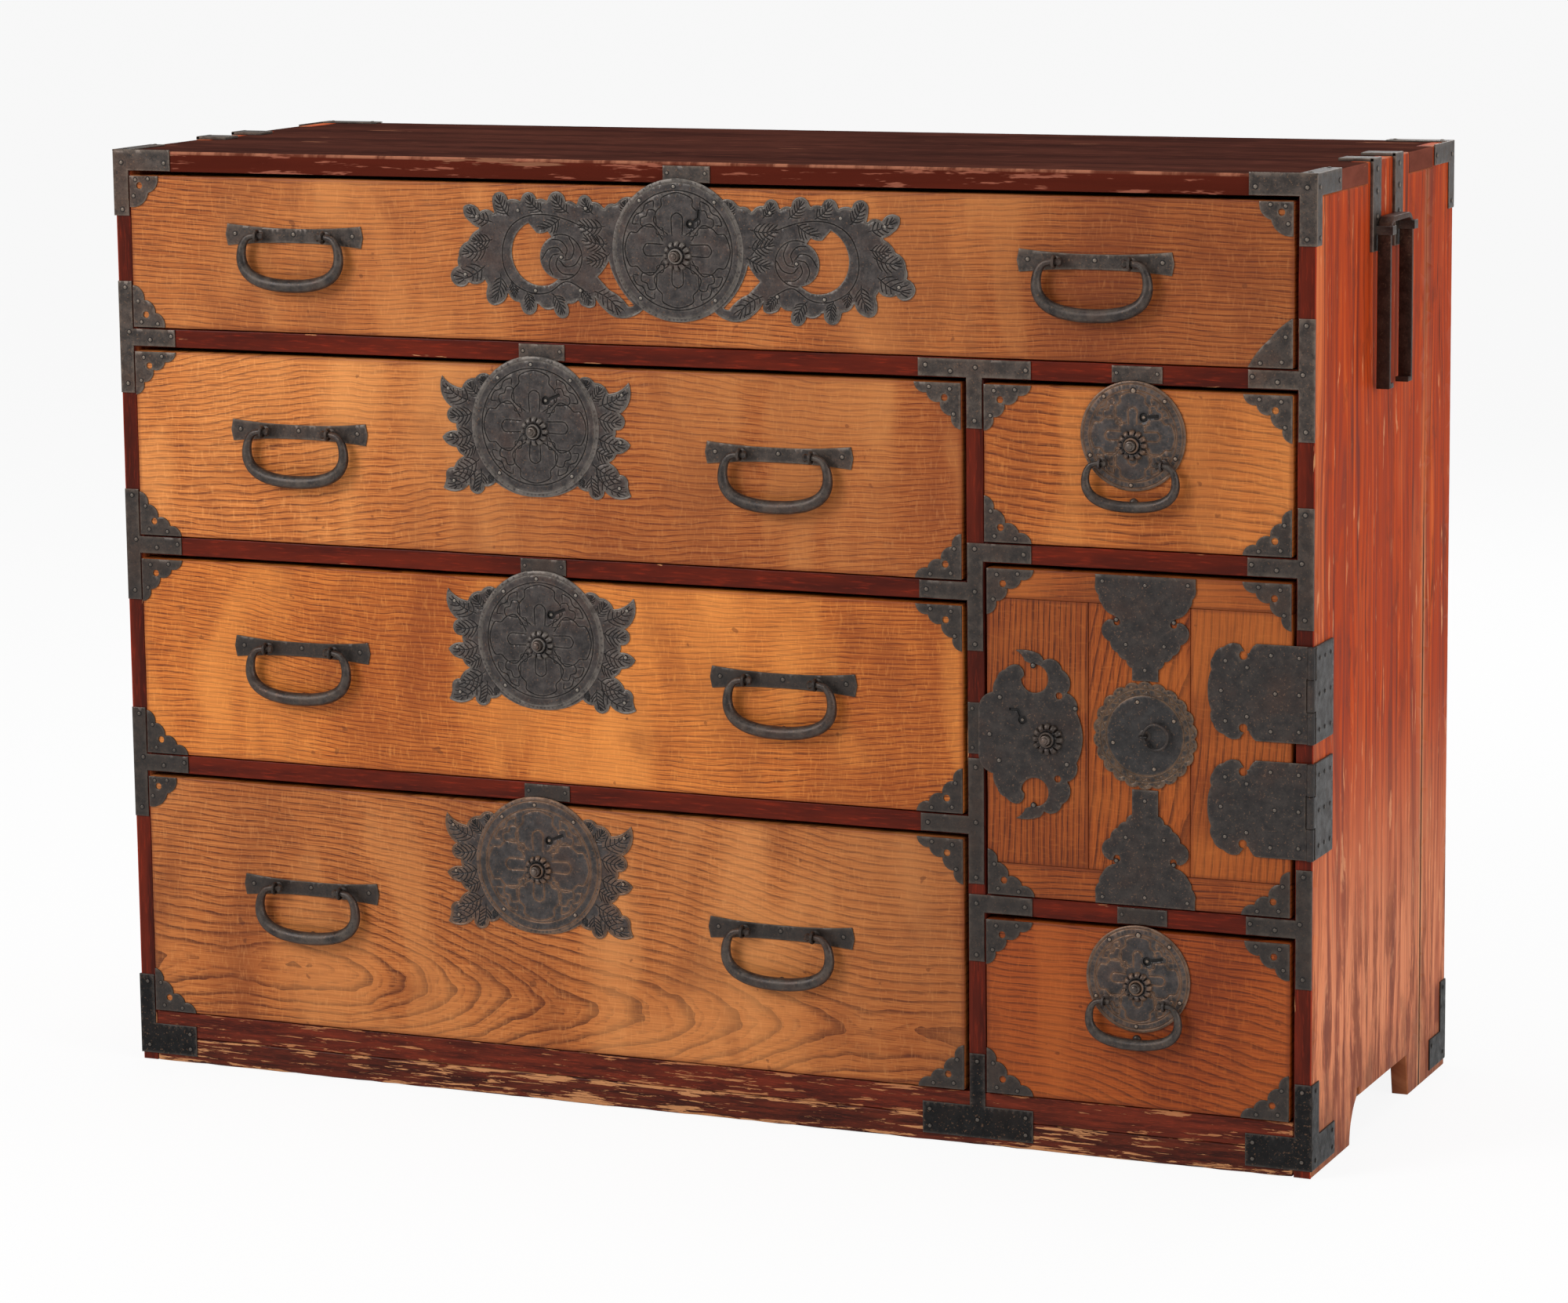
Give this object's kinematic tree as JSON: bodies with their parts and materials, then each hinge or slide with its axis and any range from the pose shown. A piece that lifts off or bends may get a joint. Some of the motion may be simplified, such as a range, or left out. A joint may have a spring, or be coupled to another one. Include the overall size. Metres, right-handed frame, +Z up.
{
  "type": "tansu chest",
  "caption": "Iron-bound wooden clothing chest with sliding drawers, bail handles, lock plates, a hinged compartment door and sliding carrying loops on the sides.",
  "frame": {"origin": "on the floor, under the middle of the chest's bounding box", "axes": "+Z up, +Y towards the back, the drawer fronts face -Y, +X to the right as seen from the front"},
  "size_m": [1.2384, 0.4504, 0.898],
  "materials": {
    "front_wood": "golden brown figured grain under worn lacquer",
    "frame_wood": "dark red-brown lacquer with chipped edges",
    "base_wood": "heavily worn dark wood",
    "top_wood": "dark red-brown lacquer with a worn front edge",
    "side_wood": "red-brown stained boards with dark marks",
    "inner_wood": "plain unfinished softwood",
    "iron": "dark wrought iron with rubbed edges",
    "button_iron": "dark iron polished by use"
  },
  "bodies": {
    "case": {"side_panel_left": "side_wood", "side_panel_right": "side_wood", "top_board": "top_wood", "bottom_board": "frame_wood", "base_rail": "base_wood", "back_panel": "inner_wood", "rail_board_top": "frame_wood", "rail_board_left_upper": "frame_wood", "rail_board_left_lower": "frame_wood", "rail_board_right_upper": "frame_wood", "rail_board_right_lower": "frame_wood", "centre_stile": "frame_wood", "side_hinge_lower": "iron", "side_hinge_upper": "iron"},
    "drawer_top": {"drawer_front_top": "front_wood", "tray_top": "inner_wood", "lock_plate_top": "iron"},
    "drawer_left_upper": {"drawer_front_left_upper": "front_wood", "tray_left_upper": "inner_wood", "lock_plate_left_upper": "iron"},
    "drawer_left_middle": {"drawer_front_left_middle": "front_wood", "tray_left_middle": "inner_wood", "lock_plate_left_middle": "iron"},
    "drawer_left_lower": {"drawer_front_left_lower": "front_wood", "tray_left_lower": "inner_wood", "lock_plate_left_lower": "iron"},
    "drawer_right_upper": {"drawer_front_right_upper": "front_wood", "tray_right_upper": "inner_wood", "lock_plate_right_upper": "iron"},
    "drawer_right_lower": {"drawer_front_right_lower": "front_wood", "tray_right_lower": "inner_wood", "lock_plate_right_lower": "iron"},
    "door": {"door_panel": "front_wood", "lock_plate_door": "iron", "door_ornament_top": "iron", "door_ornament_bottom": "iron", "ring_plate": "iron", "door_hinge_lower": "iron", "door_hinge_upper": "iron"},
    "button_top": {"lock_button_top": "button_iron"},
    "button_left_upper": {"lock_button_left_upper": "button_iron"},
    "button_left_middle": {"lock_button_left_middle": "button_iron"},
    "button_left_lower": {"lock_button_left_lower": "button_iron"},
    "button_right_upper": {"lock_button_right_upper": "button_iron"},
    "button_right_lower": {"lock_button_right_lower": "button_iron"},
    "button_door": {"lock_button_door": "button_iron"},
    "bail_top_left": {"bail_top_left": "iron"},
    "bail_top_right": {"bail_top_right": "iron"},
    "bail_left_upper_left": {"bail_left_upper_left": "iron"},
    "bail_left_upper_right": {"bail_left_upper_right": "iron"},
    "bail_left_middle_left": {"bail_left_middle_left": "iron"},
    "bail_left_middle_right": {"bail_left_middle_right": "iron"},
    "bail_left_lower_left": {"bail_left_lower_left": "iron"},
    "bail_left_lower_right": {"bail_left_lower_right": "iron"},
    "bail_right_upper": {"bail_right_upper": "iron"},
    "bail_right_lower": {"bail_right_lower": "iron"},
    "ring": {"ring_pull": "iron"},
    "loop_left": {"carrying_loop_left": "iron"},
    "loop_right": {"carrying_loop_right": "iron"}
  },
  "joints": [
    {"name": "drawer_top_slide", "type": "slide", "parent": "case", "child": "drawer_top", "axis": [0, -1, 0], "range_m": [0, 0.32]},
    {"name": "drawer_left_upper_slide", "type": "slide", "parent": "case", "child": "drawer_left_upper", "axis": [0, -1, 0], "range_m": [0, 0.32]},
    {"name": "drawer_left_middle_slide", "type": "slide", "parent": "case", "child": "drawer_left_middle", "axis": [0, -1, 0], "range_m": [0, 0.32]},
    {"name": "drawer_left_lower_slide", "type": "slide", "parent": "case", "child": "drawer_left_lower", "axis": [0, -1, 0], "range_m": [0, 0.32]},
    {"name": "drawer_right_upper_slide", "type": "slide", "parent": "case", "child": "drawer_right_upper", "axis": [0, -1, 0], "range_m": [0, 0.32]},
    {"name": "drawer_right_lower_slide", "type": "slide", "parent": "case", "child": "drawer_right_lower", "axis": [0, -1, 0], "range_m": [0, 0.32]},
    {"name": "door_swing", "type": "hinge", "parent": "case", "child": "door", "pos_m": [0.5988, -0.21064, 0.387], "axis": [0, 0, 1], "range_deg": [0, 170]},
    {"name": "button_top_push", "type": "slide", "parent": "drawer_top", "child": "button_top", "axis": [0, 1, 0], "range_m": [0, 0.004]},
    {"name": "button_left_upper_push", "type": "slide", "parent": "drawer_left_upper", "child": "button_left_upper", "axis": [0, 1, 0], "range_m": [0, 0.004]},
    {"name": "button_left_middle_push", "type": "slide", "parent": "drawer_left_middle", "child": "button_left_middle", "axis": [0, 1, 0], "range_m": [0, 0.004]},
    {"name": "button_left_lower_push", "type": "slide", "parent": "drawer_left_lower", "child": "button_left_lower", "axis": [0, 1, 0], "range_m": [0, 0.004]},
    {"name": "button_right_upper_push", "type": "slide", "parent": "drawer_right_upper", "child": "button_right_upper", "axis": [0, 1, 0], "range_m": [0, 0.004]},
    {"name": "button_right_lower_push", "type": "slide", "parent": "drawer_right_lower", "child": "button_right_lower", "axis": [0, 1, 0], "range_m": [0, 0.004]},
    {"name": "button_door_push", "type": "slide", "parent": "door", "child": "button_door", "axis": [0, 1, 0], "range_m": [0, 0.004]},
    {"name": "bail_top_left_swing", "type": "hinge", "parent": "drawer_top", "child": "bail_top_left", "pos_m": [-0.405, -0.21884, 0.818], "axis": [-1, 0, 0], "range_deg": [0, 175]},
    {"name": "bail_top_right_swing", "type": "hinge", "parent": "drawer_top", "child": "bail_top_right", "pos_m": [0.398, -0.21884, 0.8145], "axis": [-1, 0, 0], "range_deg": [0, 175]},
    {"name": "bail_left_upper_left_swing", "type": "hinge", "parent": "drawer_left_upper", "child": "bail_left_upper_left", "pos_m": [-0.405, -0.21884, 0.631], "axis": [-1, 0, 0], "range_deg": [0, 175]},
    {"name": "bail_left_upper_right_swing", "type": "hinge", "parent": "drawer_left_upper", "child": "bail_left_upper_right", "pos_m": [0.092, -0.21884, 0.63], "axis": [-1, 0, 0], "range_deg": [0, 175]},
    {"name": "bail_left_middle_left_swing", "type": "hinge", "parent": "drawer_left_middle", "child": "bail_left_middle_left", "pos_m": [-0.408, -0.21884, 0.421], "axis": [-1, 0, 0], "range_deg": [0, 175]},
    {"name": "bail_left_middle_right_swing", "type": "hinge", "parent": "drawer_left_middle", "child": "bail_left_middle_right", "pos_m": [0.094, -0.21884, 0.421], "axis": [-1, 0, 0], "range_deg": [0, 175]},
    {"name": "bail_left_lower_left_swing", "type": "hinge", "parent": "drawer_left_lower", "child": "bail_left_lower_left", "pos_m": [-0.405, -0.21884, 0.1865], "axis": [-1, 0, 0], "range_deg": [0, 175]},
    {"name": "bail_left_lower_right_swing", "type": "hinge", "parent": "drawer_left_lower", "child": "bail_left_lower_right", "pos_m": [0.089, -0.21884, 0.184], "axis": [-1, 0, 0], "range_deg": [0, 175]},
    {"name": "bail_right_upper_swing", "type": "hinge", "parent": "drawer_right_upper", "child": "bail_right_upper", "pos_m": [0.434, -0.21884, 0.637], "axis": [-1, 0, 0], "range_deg": [0, 175]},
    {"name": "bail_right_lower_swing", "type": "hinge", "parent": "drawer_right_lower", "child": "bail_right_lower", "pos_m": [0.437, -0.21884, 0.149], "axis": [-1, 0, 0], "range_deg": [0, 175]},
    {"name": "ring_swing", "type": "hinge", "parent": "door", "child": "ring", "pos_m": [0.445, -0.21564, 0.393], "axis": [0, 0, -1], "range_deg": [0, 170]},
    {"name": "loop_left_slide", "type": "slide", "parent": "case", "child": "loop_left", "axis": [0, 0, 1], "range_m": [0, 0.125]},
    {"name": "loop_right_slide", "type": "slide", "parent": "case", "child": "loop_right", "axis": [0, 0, 1], "range_m": [0, 0.125]}
  ]
}
